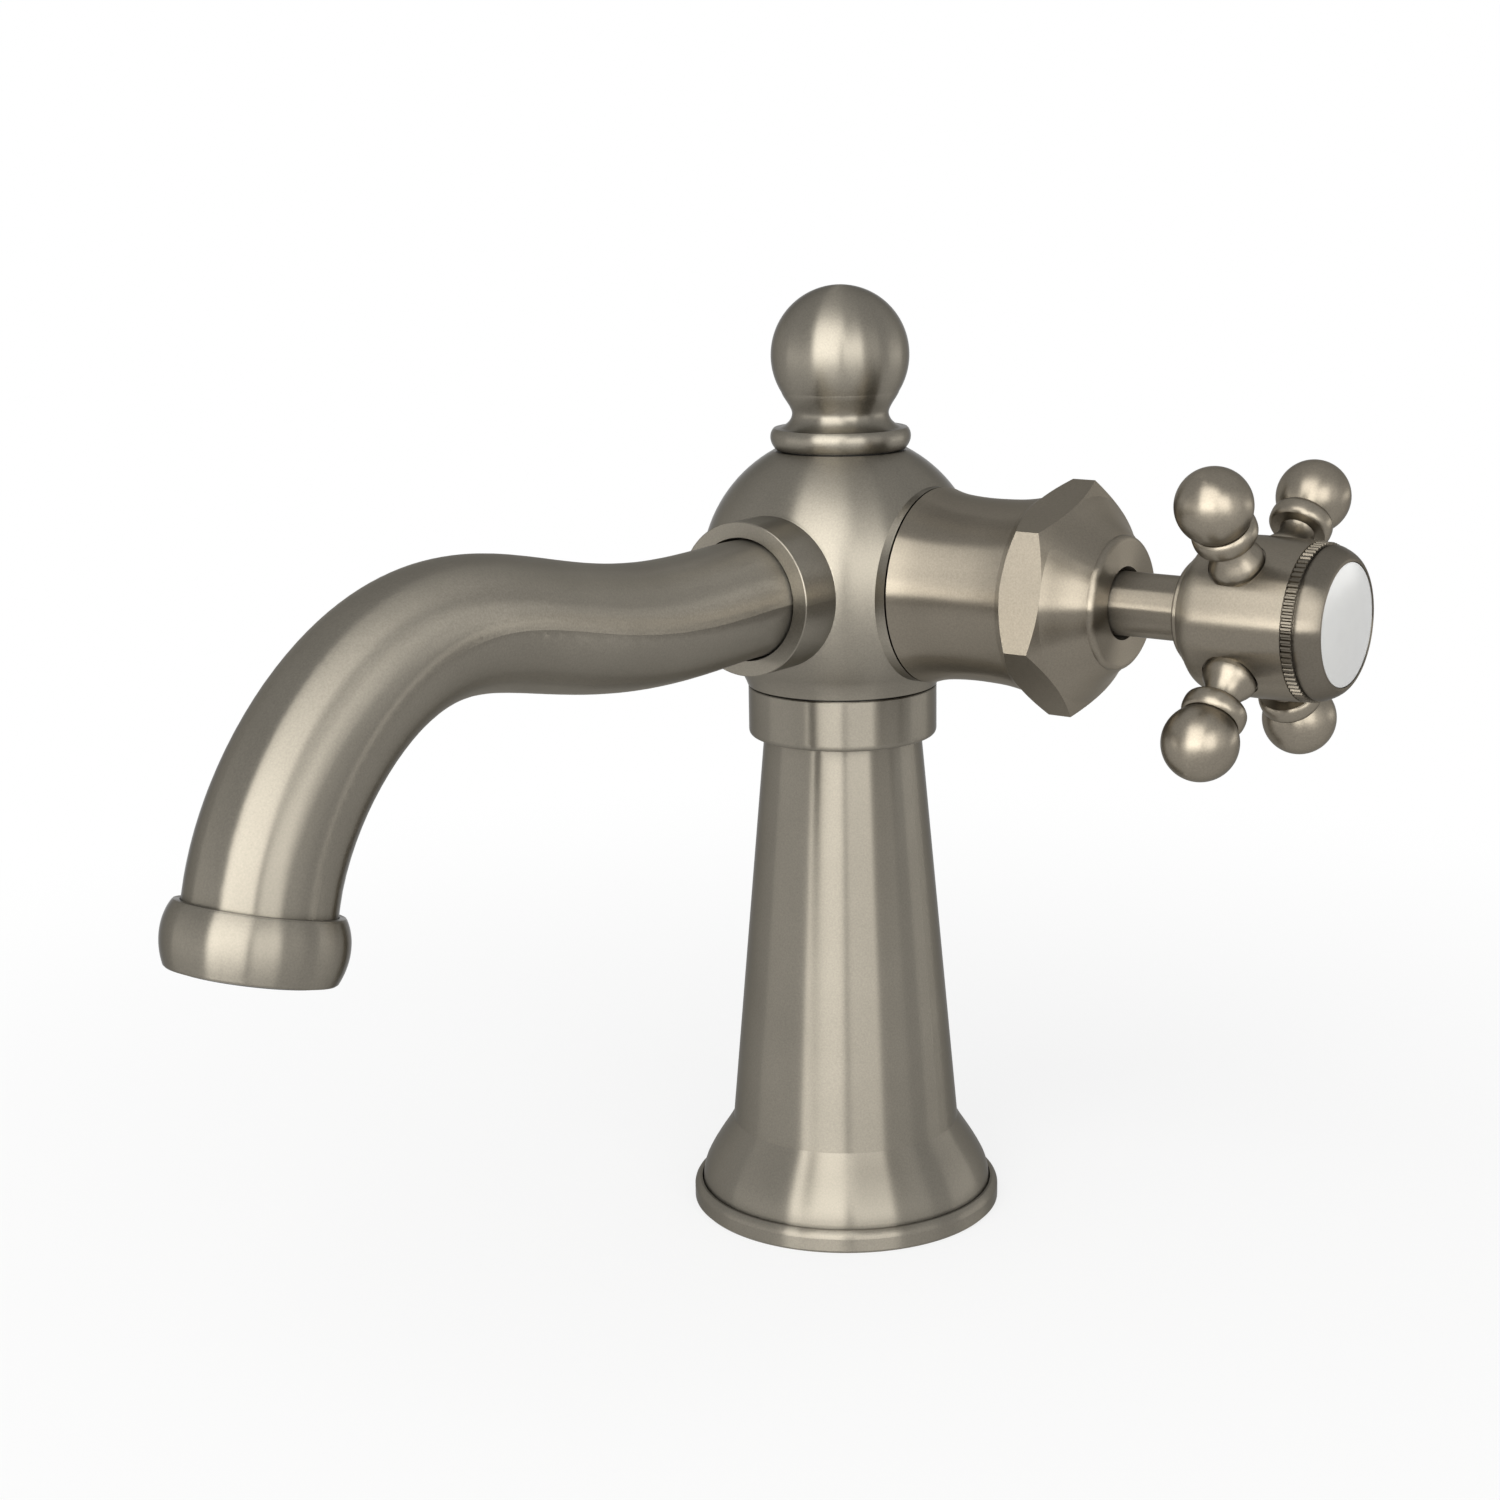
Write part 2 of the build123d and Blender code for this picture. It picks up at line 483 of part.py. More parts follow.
# Cartridge, fixed part
ports = {"hot": (PORT_Y, -PORT_DOWN), "cold": (-PORT_Y, -PORT_DOWN), "mix": (0, PORT_UP)}
disc_bore_r = CARTRIDGE_R - 1.45
seal_floor_x = BASE_X + 1.3
base = along_x(rod(CARTRIDGE_R, BASE_X, FIXED_X))
fixed = along_x(rod(disc_bore_r - SLIP, FIXED_X, MOVING_X))
for name, (y, up) in ports.items():
    base -= along_x(rod(PORT_BORE_R, 0, 30), y, AXIS_Z + up) + along_x(rod(PORT_SEAL_R, 0, seal_floor_x), y, AXIS_Z + up)
    fixed -= along_x(rod(DISC_PORT_R, 0, 30), DISC_PULL * y, AXIS_Z + DISC_PULL * up)
    seal = torus_ring(PORT_BORE_R + SLIP, PORT_SEAL_R - 0.02, POCKET_X, seal_floor_x)
    parts["port_seal_" + name] = along_x(seal, y, AXIS_Z + up)
parts["cartridge_base"] = base
parts["fixed_disc"] = fixed

stem_bore_r = STEM_R + GAP
groove_tops = [NUT_X - 3.0, NUT_X - 3.0 - 4.2]
grooves = []
for top in groove_tops:
    low = top - SEAL_GROOVE_L
    grooves += [(stem_bore_r, top), (SEAL_GROOVE_R, top), (SEAL_GROOVE_R, low), (stem_bore_r, low)]
housing = turned([(disc_bore_r, FIXED_X), (CARTRIDGE_R, FIXED_X), (CARTRIDGE_R, NUT_X), (stem_bore_r, NUT_X)] + grooves
                 + [(stem_bore_r, HOUSING_WALL_X), (MOVING_R + 0.4, HOUSING_WALL_X), (MOVING_R + 0.4, MOVING_X + GAP),
                    (disc_bore_r, MOVING_X + GAP)])
parts["cartridge_housing"] = along_x(housing)
for k, top in enumerate(reversed(groove_tops)):
    seal = torus_ring(STEM_R + 0.02, SEAL_GROOVE_R - 0.02, top - SEAL_GROOVE_L + GAP, top - GAP)
    parts["stem_seal_%d" % (k + 1)] = along_x(seal)
parts["thrust_washer"] = along_x(ring(stem_bore_r, STEM_HEAD_R - GAP, THRUST_X + 0.02, HOUSING_WALL_X))
nut = ring(NUT_IN_R, POCKET_R - SLIP, NUT_X, NUT_END_X)
for k in range(4):
    nut -= Rot(0, 0, 90 * k) * Pos(POCKET_R - 2, 0, NUT_END_X) * Box(5.2, 2.6, 3.0)
parts["cartridge_nut"] = along_x(nut)

# Cartridge, moving part
pocket_top = MOVING_X + DISC_POCKET_L
pocket_r = DISC_PULL * PORT_UP + DISC_PORT_R + 0.85
wedge_r = DISC_PULL * hypot(PORT_Y, PORT_DOWN) + DISC_PORT_R + 0.04
moving = rod(MOVING_R, MOVING_X + 0.02, DRIVER_X) - rod(pocket_r, MOVING_X, pocket_top)
wedge = [(12 * cos(radians(a)), 12 * sin(radians(a))) for a in (POCKET_FROM, 265, POCKET_TO)]
moving -= rod(wedge_r, MOVING_X, pocket_top) & extrude(Plane.XY.offset(MOVING_X) * make_face(
    Polyline((0, 0), *wedge, close=True)), 5)
parts["moving_disc"] = along_x(moving - Pos(0, 0, DRIVER_X) * Box(14, 2.4, 1.6))
driver = rod(MOVING_R - 0.3, DRIVER_X, STEM_X) + Pos(0, 0, DRIVER_X - 0.35) * Box(13.8, 2.2, 0.7)
parts["disc_driver"] = along_x(driver - Pos(0, 0, STEM_X) * Box(4.1, 4.1, 3.2))
stem_end_x = STEM_NECK_X + STEM_END_L
stem = rod(STEM_HEAD_R, STEM_X, THRUST_X) + rod(STEM_R, THRUST_X, STEM_NECK_X) + rod(STEM_END_R, STEM_NECK_X, stem_end_x)
stem += Pos(0, 0, STEM_X - 0.75) * Box(4.0, 4.0, 1.5)
pin_hole = Pos(0, 0, PIN_X) * Rot(90, 0, 0) * rod(PIN_R, -10, 10)
parts["cartridge_stem"] = along_x(stem - pin_hole)
parts["stem_pin"] = along_x(Pos(0, 0, PIN_X) * Rot(90, 0, 0) * rod(PIN_R, -SHAFT_R + GAP, SHAFT_R - GAP))

# Handle shaft, step ring, hub and screw
shaft_end_x = HUB_CAVITY_X - 0.2
shaft = turned([(0, SHAFT_X), (SHAFT_R, SHAFT_X), (SHAFT_R, HUB_X), (SHAFT_TAIL_R, HUB_X),
                (SHAFT_TAIL_R, shaft_end_x), (0, shaft_end_x)])
shaft -= rod(STEM_END_R + 0.02, 0, stem_end_x + 0.2) + pin_hole + rod(HANDLE_SCREW_R, HUB_CAVITY_X - 10.2, HUB_CAVITY_X + 10)
parts["handle_shaft"] = along_x(shaft)
parts["hub_step_ring"] = along_x(turned([(SHAFT_R + 0.02, STEP_X), (STEP_R - 0.5, STEP_X), (STEP_R, STEP_X + 0.5),
                                         (STEP_R, HUB_X), (SHAFT_R + 0.02, HUB_X)]))
shoulder = [(3.3, 0), (2.0, 0.062), (0.9, 0.116), (0.4, 0.167), (0.15, 0.264), (0.02, 0.415), (0, 0.577), (0.05, 0.792),
            (0.15, 1)]
hub_side = [(HUB_R - step_in, HUB_X + share * HUB_L) for step_in, share in shoulder]
hub = turned([(SHAFT_TAIL_R + 0.02, HUB_X), hub_side[0]], ("curve", hub_side),
             [hub_side[-1], (HUB_CAVITY_R, KNURL_X), (HUB_CAVITY_R, HUB_CAVITY_X), (SHAFT_TAIL_R + 0.02, HUB_CAVITY_X)])
screw_head = turned([(0, 0), (4.6, 0), (4.6, 2.4), (4.1, 3.2), (0, 3.2)])
parts["handle_screw"] = along_x(rod(HANDLE_SCREW_R, HUB_CAVITY_X - 10, HUB_CAVITY_X) + Pos(0, 0, HUB_CAVITY_X) * screw_head
                                - extrude(Plane.XY.offset(HUB_CAVITY_X + 1.2) * RegularPolygon(1.9, 6), 4))

# Arms, drawn from the seat outwards
arm_foot = (ARM_FOOT_R, 0.85)
waist_end = (2.8, 5.7)
bead = [(4.4, 5.85), (4.85, 6.4), (4.97, 7.35), (4.85, 8.3), (4.4, 8.9)]
arm = turned([(0, -ARM_TENON_L), (ARM_TENON_R, -ARM_TENON_L), (ARM_TENON_R, 0), (ARM_FOOT_R - SLIP, 0), arm_foot],
             between(arm_foot, waist_end, [(0.18, 0.186), (0.607, 0.381), (1.0, 0.608), (1.13, 0.814)]),
             [waist_end, bead[0]], ("curve", bead), [bead[-1], (0, bead[-1][1])])
arm += Pos(0, 0, ARM_BALL_OUT) * Sphere(ARM_BALL_R)
for k in range(4):
    angle = ARM_ANGLE + 90 * k
    parts["handle_arm_%d" % (k + 1)] = Pos(ARM_X, 0, AXIS_Z) * Rot(angle, 0, 0) * Pos(0, 0, ARM_SEAT_AT) * arm
    place = Rot(0, -90, 0) * Pos(ARM_X, 0, 0) * Rot(angle, 0, 0) * Pos(0, 0, ARM_SEAT_AT)
    hub -= place * (rod(ARM_TENON_R + SLIP, -ARM_TENON_L - 0.2, 5) + rod(ARM_FOOT_R + 0.25, 0, 5))
parts["handle_hub"] = along_x(hub)

# Index cap with its coin edge, and the white index disc
step = 360.0 / KNURL_TEETH
teeth = []
for k in range(KNURL_TEETH):
    for part_angle, r in ((0.0, KNURL_R), (0.35, KNURL_R), (0.55, KNURL_R - KNURL_DEPTH), (0.8, KNURL_R - KNURL_DEPTH)):
        a = radians(step * (k + part_angle))
        teeth.append((r * cos(a), r * sin(a)))
band = extrude(Plane.XY.offset(KNURL_X + GAP) * make_face(Polyline(*teeth, close=True)), KNURL_L - GAP)
plug_r = HUB_CAVITY_R - SLIP
cap_front = BEZEL_X + 3.7
bezel_side = [(BEZEL_R - 0.2, BEZEL_X + 0.2), (BEZEL_R, BEZEL_X + 0.75), (BEZEL_R - 0.2, BEZEL_X + 1.45),
              (BEZEL_R - 0.58, BEZEL_X + 2.25), (BEZEL_R - 1.08, BEZEL_X + 3.0), (BEZEL_R - 1.85, cap_front - 0.05)]
disc_seat_x = DISC_X - DISC_CUSHION_T
bezel = turned([(0, KNURL_X - 1.9), (plug_r, KNURL_X - 1.9), (plug_r, KNURL_X + 0.2), (BEZEL_R - 0.4, KNURL_X + 0.2),
                (BEZEL_R - 0.4, BEZEL_X + 0.2), bezel_side[0]], ("curve", bezel_side),
               [bezel_side[-1], (DISC_R + GAP, cap_front), (DISC_R + GAP, disc_seat_x), (0, disc_seat_x)])
parts["index_cap"] = along_x(bezel + band - rod(HUB_CAVITY_R - 1.8, HUB_CAVITY_X, KNURL_X + 0.75))
parts["disc_cushion"] = along_x(rod(DISC_R - 0.2, disc_seat_x, DISC_X))
dome = [(DISC_R, DISC_X + 1.55), (0.8 * DISC_R, DISC_X + 1.85), (0.48 * DISC_R, DISC_X + 2.15), (0, DISC_X + 2.3)]
parts["index_disc"] = along_x(turned([(0, DISC_X), (DISC_R, DISC_X), dome[0]], ("curve", dome)))

os.makedirs("parts", exist_ok=True)
for name, shape in parts.items():
    solid = shape.solids()[0] if len(shape.solids()) == 1 else shape
    export_step(solid, "parts/" + name + ".step")
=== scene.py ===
"""Looks of a single handle basin faucet: finishes, stage, lights and camera.

Laid out as an add-on and run as a script. Metres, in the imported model's frame:
origin at the centre of the base underside, +Z up, the spout reaches towards -Y
and the handle towards +X.
"""

import json
from math import cos, pi, radians, sin

import bmesh
import bpy
from bpy.props import FloatProperty, FloatVectorProperty, PointerProperty
from mathutils import Matrix, Vector

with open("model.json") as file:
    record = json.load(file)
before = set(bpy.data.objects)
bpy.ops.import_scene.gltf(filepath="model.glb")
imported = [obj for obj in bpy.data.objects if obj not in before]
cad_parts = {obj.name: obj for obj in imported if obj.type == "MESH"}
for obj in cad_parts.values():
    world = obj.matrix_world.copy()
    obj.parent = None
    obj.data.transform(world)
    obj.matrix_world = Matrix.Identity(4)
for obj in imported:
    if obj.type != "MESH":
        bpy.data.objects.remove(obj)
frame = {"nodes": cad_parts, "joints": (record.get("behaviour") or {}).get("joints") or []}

bl_info = {
    "name": "Basin Faucet Looks",
    "version": (1, 0, 0),
    "blender": (4, 5, 0),
    "location": "3D View > Sidebar > Faucet",
    "description": "Finishes, stage, lights and camera of a single handle basin faucet",
    "category": "Object",
}

MM = 0.001
NODES = frame["nodes"]
AXIS_Z = frame["joints"][0]["pos_m"][2]
X_AXIS, Y_AXIS, Z_AXIS = (1.0, 0.0, 0.0), (0.0, 1.0, 0.0), (0.0, 0.0, 1.0)

# Where the neck's axis crosses the column's.
NECK_CENTRE = (0, 0, AXIS_Z)

# The spout boss is the part of the ball body in front of this.
BOSS_FROM_Y = -20.2 * MM

# How far the spout's end and its aerator lean down from level.
DROP_ANGLE = radians(75)

# Keeps the run of the spout defined where its surface faces straight to the side.
RUN_AT_SIDES = 0.03

# How much of the plain metal's grazing reflection the plated nickel keeps.
EDGE_TINT = (0.45, 0.45, 0.45, 1.0)

# A quarter turn, so that highlights draw out across the brush lines.
ACROSS_THE_LINES = 0.25

# Roughness of the nickel, and how far tone patches and grain change its colour.
NICKEL_ROUGHNESS = (0.31, 0.37)
PATCH_TONES = (0.96, 1.04)
GRAIN_TONES = (0.88, 1.12)

# Where most values of the noise for the patches and for the grain lie.
PATCH_SPAN = (0.3, 0.7)
GRAIN_SPAN = (0.25, 0.75)

# Side of the camera's square sensor in millimetres, and the nearest distance it shows.
SENSOR_SIDE = 36.0
NEAREST = 10 * MM

# How many straight sides the round floor and the wall have.
ROUND_SIDES = 96

# The point that every lamp faces.
LAMP_AIM = (0.02, -0.04, 0.10)

# For each lamp, azimuth and elevation in degrees, width and height in metres, and the
# stage setting that holds its brightness.
LAMPS = {
    "softbox_key": (11, 27, 1.06, 1.6, "key_light"),
    "softbox_fill": (57, 12, 0.73, 1.0, "fill_light"),
    "softbox_side": (88, 12, 0.8, 1.0, "side_light"),
    "strip_left": (-32, 0.5, 1.6, 0.15, "strip_light"),
    "strip_front": (11, 3, 1.0, 0.36, "strip_light"),
    "strip_behind": (142, 0.5, 0.7, 0.15, "strip_light"),
}


def linear(hex_colour):
    """sRGB hex to the linear colour that Blender takes."""
    channels = [int(hex_colour[i:i + 2], 16) / 255 for i in (1, 3, 5)]
    return tuple(c / 12.92 if c <= 0.04045 else ((c + 0.055) / 1.055) ** 2.4 for c in channels)


def add_node(tree, kind, inputs=None, **settings):
    """Add a node, set its properties, and give its inputs values or links."""
    node = tree.nodes.new(kind)
    for name, value in settings.items():
        setattr(node, name, value)
    for name, value in (inputs or {}).items():
        if isinstance(value, bpy.types.NodeSocket):
            tree.links.new(value, node.inputs[name])
        else:
            node.inputs[name].default_value = value
    return node


def new_material(name):
    material = bpy.data.materials.new(name)
    material.use_nodes = True
    material.node_tree.nodes.clear()
    return material, material.node_tree


def finish_material(tree, surface):
    add_node(tree, "ShaderNodeOutputMaterial", {"Surface": surface})


def dress(material, *names):
    """Give CAD nodes a material in every slot."""
    for name in names:
        slots = NODES[name].data.materials
        if not slots:
            slots.append(material)
        for i in range(len(slots)):
            slots[i] = material


def middle_of(name):
    """The mean of a node's vertices, which lies on the axis of a turned piece."""
    points = [vertex.co for vertex in NODES[name].data.vertices]
    return sum(points, Vector()) / len(points)


class FaucetFinish(bpy.types.PropertyGroup):
    """Colours and surface sizes of the faucet."""
    nickel: FloatVectorProperty(
        name="Nickel", description="Brushed nickel of the body", subtype="COLOR", size=3,
        min=0, max=1, default=linear("#7E796F"))
    handle_nickel: FloatVectorProperty(
        name="Neck and handle nickel",
        description="Brushed nickel of the neck, the bonnet and the handle, a little warmer",
        subtype="COLOR", size=3, min=0, max=1, default=linear("#817A6E"))
    # Painted shade: the index cap's nickel is a darker copy of the handle's, set darker to hold
    # back the fill lamp's light on the cap.
    cap_nickel_painted_shade: FloatVectorProperty(
        name="Cap nickel, painted shade", description="Brushed nickel of the index cap, darker as painted shade",
        subtype="COLOR", size=3, min=0, max=1, default=linear("#6E685E"))
    porcelain: FloatVectorProperty(
        name="Porcelain", description="Glaze of the index disc", subtype="COLOR", size=3,
        min=0, max=1, default=linear("#A5A5A4"))
    brass: FloatVectorProperty(
        name="Brass", description="Machined brass inside", subtype="COLOR", size=3,
        min=0, max=1, default=linear("#D9B56E"))
    copper: FloatVectorProperty(
        name="Copper", description="Drawn copper of the risers", subtype="COLOR", size=3,
        min=0, max=1, default=linear("#DB9A78"))
    rubber: FloatVectorProperty(
        name="Rubber", description="Moulded black rubber of seals and washers", subtype="COLOR",
        size=3, min=0, max=1, default=linear("#1E1E1F"))
    grain: FloatProperty(
        name="Satin grain",
        description="Size of the satin finish's grain, coarser than real so that it shows",
        unit="LENGTH", min=0.01 * MM, default=0.3 * MM)
    cloud: FloatProperty(
        name="Tone patches", description="Size of the faint lighter and darker patches",
        unit="LENGTH", min=1 * MM, default=14 * MM)


class FaucetStage(bpy.types.PropertyGroup):
    """Floor, backdrop and lamps."""
    floor_radius: FloatProperty(
        name="Floor radius", description="Radius of the round floor and the wall round it",
        unit="LENGTH", min=1, default=3.0)
    wall_height: FloatProperty(
        name="Wall height", description="Height of the pale wall round the floor",
        unit="LENGTH", min=0.1, default=1.0)
    lamp_distance: FloatProperty(
        name="Lamp distance", description="From the faucet to the middle of a softbox",
        unit="LENGTH", min=0.3, default=1.2)
    key_light: FloatProperty(
        name="Key softbox", description="Brightness of the large softbox, white paper being 1",
        min=0, default=4.2)
    fill_light: FloatProperty(
        name="Fill softbox", description="Brightness of the softbox right of the camera",
        min=0, default=4.2)
    side_light: FloatProperty(
        name="Side softbox", description="Brightness of the weak softbox past the fill",
        min=0, default=0.6)
    strip_light: FloatProperty(
        name="Strip lamps", description="Brightness of the low strips that draw thin lines",
        min=0, default=2.6)
    lamp_colour: FloatVectorProperty(
        name="Lamp colour", description="White of the softboxes", subtype="COLOR", size=3,
        min=0, max=1, default=linear("#FFFEFB"))
    paper: FloatVectorProperty(
        name="Paper", description="How much light the floor and the wall scatter",
        subtype="COLOR", size=3, min=0, max=1, default=linear("#C3C3C3"))
    shadow_share: FloatProperty(
        name="Even white near the faucet",
        description="Share of even white in the floor by the faucet, the rest being lit paper",
        subtype="FACTOR", min=0, max=1, default=0.78)
    shadow_from: FloatProperty(
        name="Shadow from", description="Radius at which the floor starts to turn evenly white",
        unit="LENGTH", min=0, default=0.06)
    shadow_to: FloatProperty(
        name="Shadow to", description="Radius from which the floor and the wall are evenly white",
        unit="LENGTH", min=0, default=0.32)
    ceiling: FloatVectorProperty(
        name="Ceiling", description="Colour of the room above the wall", subtype="COLOR", size=3,
        min=0, max=1, default=linear("#E4E5E6"))


class FaucetView(bpy.types.PropertyGroup):
    """The photograph's camera."""
    place: FloatVectorProperty(
        name="Place", description="Where the camera stands", subtype="XYZ", unit="LENGTH",
        size=3, default=(0.2440, -0.3587, 0.1815))
    azimuth: FloatProperty(
        name="Azimuth", description="Turn of the view about +Z, from looking along +Y",
        subtype="ANGLE", default=radians(36.34))
    elevation: FloatProperty(
        name="Elevation", description="How far the camera looks down", subtype="ANGLE",
        default=radians(12.97))
    roll: FloatProperty(
        name="Roll", description="Turn about the line of sight", subtype="ANGLE",
        default=radians(-0.90))
    focal_length: FloatProperty(
        name="Focal length", description="On a 36 mm square sensor, in millimetres",
        min=1, default=61.94)


def vector_math(tree, operation, *values):
    return add_node(tree, "ShaderNodeVectorMath", dict(enumerate(values)), operation=operation)


def scaled(tree, vector, factor):
    return add_node(tree, "ShaderNodeVectorMath", {0: vector, "Scale": factor},
                    operation="SCALE").outputs[0]


def noise(tree, place, size, detail, **inputs):
    """Noise with features of about the given size."""
    values = {"Vector": place, "Scale": 1 / size, "Detail": detail, **inputs}
    return add_node(tree, "ShaderNodeTexNoise", values).outputs["Fac"]


def spread(tree, value, ends, span=(0.0, 1.0)):
    """Stretch a span of a value so that it reaches from one end to the other."""
    return add_node(tree, "ShaderNodeMapRange",
                    {"Value": value, "From Min": span[0], "From Max": span[1],
                     "To Min": ends[0], "To Max": ends[1]}).outputs[0]


def relief(tree, height, strength, depth):
    return add_node(tree, "ShaderNodeBump",
                    {"Height": height, "Strength": strength, "Distance": depth}).outputs[0]


def maths(tree, operation, first, second=0.0):
    return add_node(tree, "ShaderNodeMath", {0: first, 1: second}, operation=operation).outputs[0]


def in_world(tree, vector):
    return add_node(tree, "ShaderNodeVectorTransform", {"Vector": vector}, vector_type="VECTOR",
                    convert_from="OBJECT", convert_to="WORLD").outputs[0]


def round_axis(axis, centre):
    """Brush lines of a piece that spins about an axis while it is brushed."""
    def lines(tree, place):
        arm = vector_math(tree, "SUBTRACT", place, centre).outputs[0]
        return vector_math(tree, "CROSS_PRODUCT", axis, arm).outputs[0]
    return lines


def round_ball(tree, place):
    """Brush lines round the upright axis on the ball, and round the spout's axis on its boss."""
    ball = round_axis(Z_AXIS, (0, 0, 0))(tree, place)
    boss = round_axis(Y_AXIS, NECK_CENTRE)(tree, place)
    y = add_node(tree, "ShaderNodeSeparateXYZ", {0: place}).outputs["Y"]
    on_boss = maths(tree, "LESS_THAN", y, BOSS_FROM_Y)
    on_ball = maths(tree, "SUBTRACT", 1.0, on_boss)
    return vector_math(tree, "ADD", scaled(tree, ball, on_ball),
                       scaled(tree, boss, on_boss)).outputs[0]


def round_tube(tree, place):
    """Brush lines round a tube that bends in the YZ plane.

    The run of the tube is square to X and to the surface normal, and it is given one
    direction on both halves of the tube.
    """
    normal = add_node(tree, "ShaderNodeNewGeometry").outputs["Normal"]
    normal = add_node(tree, "ShaderNodeVectorTransform", {"Vector": normal}, vector_type="NORMAL",
                      convert_from="WORLD", convert_to="OBJECT").outputs[0]
    run = vector_math(tree, "CROSS_PRODUCT", X_AXIS, normal).outputs[0]
    z = add_node(tree, "ShaderNodeSeparateXYZ", {0: normal}).outputs["Z"]
    run = scaled(tree, run, maths(tree, "SIGN", z))
    run = vector_math(tree, "ADD", run, (0, -RUN_AT_SIDES, 0)).outputs[0]
    return vector_math(tree, "CROSS_PRODUCT", run, normal).outputs[0]


def brushed_nickel(name, colour, lines, finish, drawn=1.0):
    """Nickel plated on turned brass and brushed while it spins.

    The brush lines run round the piece, so highlights draw out along its axis and
    stay crisp across it. A fine satin grain lies over the lines. A lower share in
    drawn is for pieces polished by hand, where the highlights stay rounder. The edge
    tint keeps grazing reflections near the face's own, as on real nickel.
    """
    material, tree = new_material(name)
    place = add_node(tree, "ShaderNodeTexCoord").outputs["Object"]
    satin = noise(tree, place, finish.grain, detail=2.0, Roughness=0.6)
    cloud = noise(tree, place, finish.cloud, detail=2.0)
    shade = spread(tree, cloud, PATCH_TONES, PATCH_SPAN)
    speck = spread(tree, satin, GRAIN_TONES, GRAIN_SPAN)
    tone = maths(tree, "MULTIPLY", shade, speck)
    metal = add_node(tree, "ShaderNodeBsdfPrincipled", {
        "Base Color": scaled(tree, tuple(colour), tone),
        "Metallic": 1.0,
        "Specular Tint": EDGE_TINT,
        "Roughness": spread(tree, satin, NICKEL_ROUGHNESS, GRAIN_SPAN),
        "Normal": relief(tree, satin, strength=0.6, depth=0.004 * MM),
        "Tangent": in_world(tree, lines(tree, place)),
        "Anisotropic": drawn,
        "Anisotropic Rotation": ACROSS_THE_LINES,
    })
    finish_material(tree, metal.outputs[0])
    return material


def glazed_porcelain(name, colour):
    """Slip-cast porcelain under a clear glaze: white, glossy, faintly wavy."""
    material, tree = new_material(name)
    place = add_node(tree, "ShaderNodeTexCoord").outputs["Object"]
    wave = noise(tree, place, 5 * MM, detail=1.0)
    cloud = noise(tree, place, 3 * MM, detail=3.0)
    body = add_node(tree, "ShaderNodeBsdfPrincipled", {
        "Base Color": scaled(tree, tuple(colour), spread(tree, cloud, (0.97, 1.03))),
        "Roughness": 0.22,
        "IOR": 1.52,
        "Normal": relief(tree, wave, strength=0.5, depth=0.02 * MM),
    })
    finish_material(tree, body.outputs[0])
    return material


def machined_metal(name, colour, roughness):
    """Metal left as it comes from the lathe or the drawing die: fine tool marks, bright."""
    material, tree = new_material(name)
    place = add_node(tree, "ShaderNodeTexCoord").outputs["Object"]
    marks = noise(tree, place, 0.4 * MM, detail=3.0)
    metal = add_node(tree, "ShaderNodeBsdfPrincipled", {
        "Base Color": (*colour, 1.0),
        "Metallic": 1.0,
        "Roughness": spread(tree, marks, (roughness - 0.08, roughness + 0.08)),
        "Normal": relief(tree, marks, strength=0.6, depth=0.004 * MM),
    })
    finish_material(tree, metal.outputs[0])
    return material


def moulded(name, colour, roughness, ior, grain):
    """Moulded rubber, plastic or pressed ceramic: one colour with the mould's fine grain."""
    material, tree = new_material(name)
    place = add_node(tree, "ShaderNodeTexCoord").outputs["Object"]
    texture = noise(tree, place, grain, detail=2.0)
    body = add_node(tree, "ShaderNodeBsdfPrincipled", {
        "Base Color": scaled(tree, tuple(colour), spread(tree, texture, (0.9, 1.1))),
        "Roughness": roughness,
        "IOR": ior,
        "Normal": relief(tree, texture, strength=0.5, depth=0.01 * MM),
    })
    finish_material(tree, body.outputs[0])
    return material


class FAUCET_OT_upright(bpy.types.Operator):
    """Finish the base ring, the column, the collar and the finial"""
    bl_idname = "faucet.upright"
    bl_label = "Upright Pieces"

    def execute(self, context):
        finish = context.scene.faucet_finish
        lines = round_axis(Z_AXIS, (0, 0, 0))
        dress(brushed_nickel("Brushed nickel, upright", finish.nickel, lines, finish),
              "base_ring", "column_shell", "collar_ring")
        dress(brushed_nickel("Brushed nickel, finial", finish.nickel, lines, finish, drawn=0.85),
              "finial")
        return {"FINISHED"}


class FAUCET_OT_ball(bpy.types.Operator):
    """Finish the ball body with its boss"""
    bl_idname = "faucet.ball"
    bl_label = "Ball Body"

    def execute(self, context):
        finish = context.scene.faucet_finish
        dress(brushed_nickel("Brushed nickel, ball", finish.nickel, round_ball, finish, drawn=0.9),
              "ball_body")
        return {"FINISHED"}


class FAUCET_OT_spout(bpy.types.Operator):
    """Finish the spout tube and the aerator shell"""
    bl_idname = "faucet.spout"
    bl_label = "Spout"

    def execute(self, context):
        finish = context.scene.faucet_finish
        dress(brushed_nickel("Brushed nickel, spout", finish.nickel, round_tube, finish),
              "spout_tube")
        drop = (0, -cos(DROP_ANGLE), -sin(DROP_ANGLE))
        lines = round_axis(drop, tuple(middle_of("aerator_shell")))
        dress(brushed_nickel("Brushed nickel, aerator", finish.nickel, lines, finish),
              "aerator_shell")
        return {"FINISHED"}


class FAUCET_OT_neck(bpy.types.Operator):
    """Finish the neck sleeve and the hexagonal bonnet"""
    bl_idname = "faucet.neck"
    bl_label = "Neck and Bonnet"

    def execute(self, context):
        finish = context.scene.faucet_finish
        lines = round_axis(X_AXIS, NECK_CENTRE)
        dress(brushed_nickel("Brushed nickel, neck", finish.handle_nickel, lines, finish),
              "neck_sleeve", "hex_bonnet")
        return {"FINISHED"}


